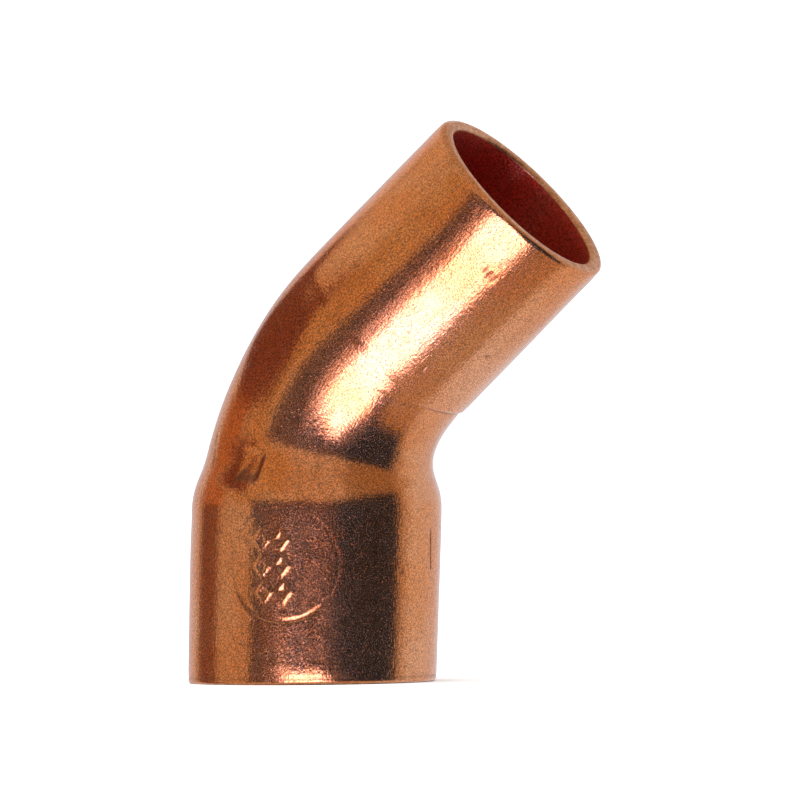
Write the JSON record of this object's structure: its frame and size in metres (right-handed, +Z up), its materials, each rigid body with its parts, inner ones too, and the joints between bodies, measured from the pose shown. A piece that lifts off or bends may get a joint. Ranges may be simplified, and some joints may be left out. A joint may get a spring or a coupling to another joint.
{
  "type": "pipe elbow",
  "caption": "45 degree copper street elbow: a short bent tube that widens to a solder cup at its lower end and keeps the tube's own outside diameter at its upper end.",
  "frame": {"origin": "on the plane of the cup's rim, which it stands on, under the middle of the fitting's outline", "axes": "+Z up the cup's axis, +X towards the side the spigot bends to, +Y square to the plane of the bend"},
  "size_m": [0.0302, 0.0182, 0.0419],
  "materials": {
    "copper": "satin copper as formed, with fine die marks, scratches and light tarnish"
  },
  "bodies": {
    "root": {"elbow_body": "copper"}
  },
  "joints": []
}
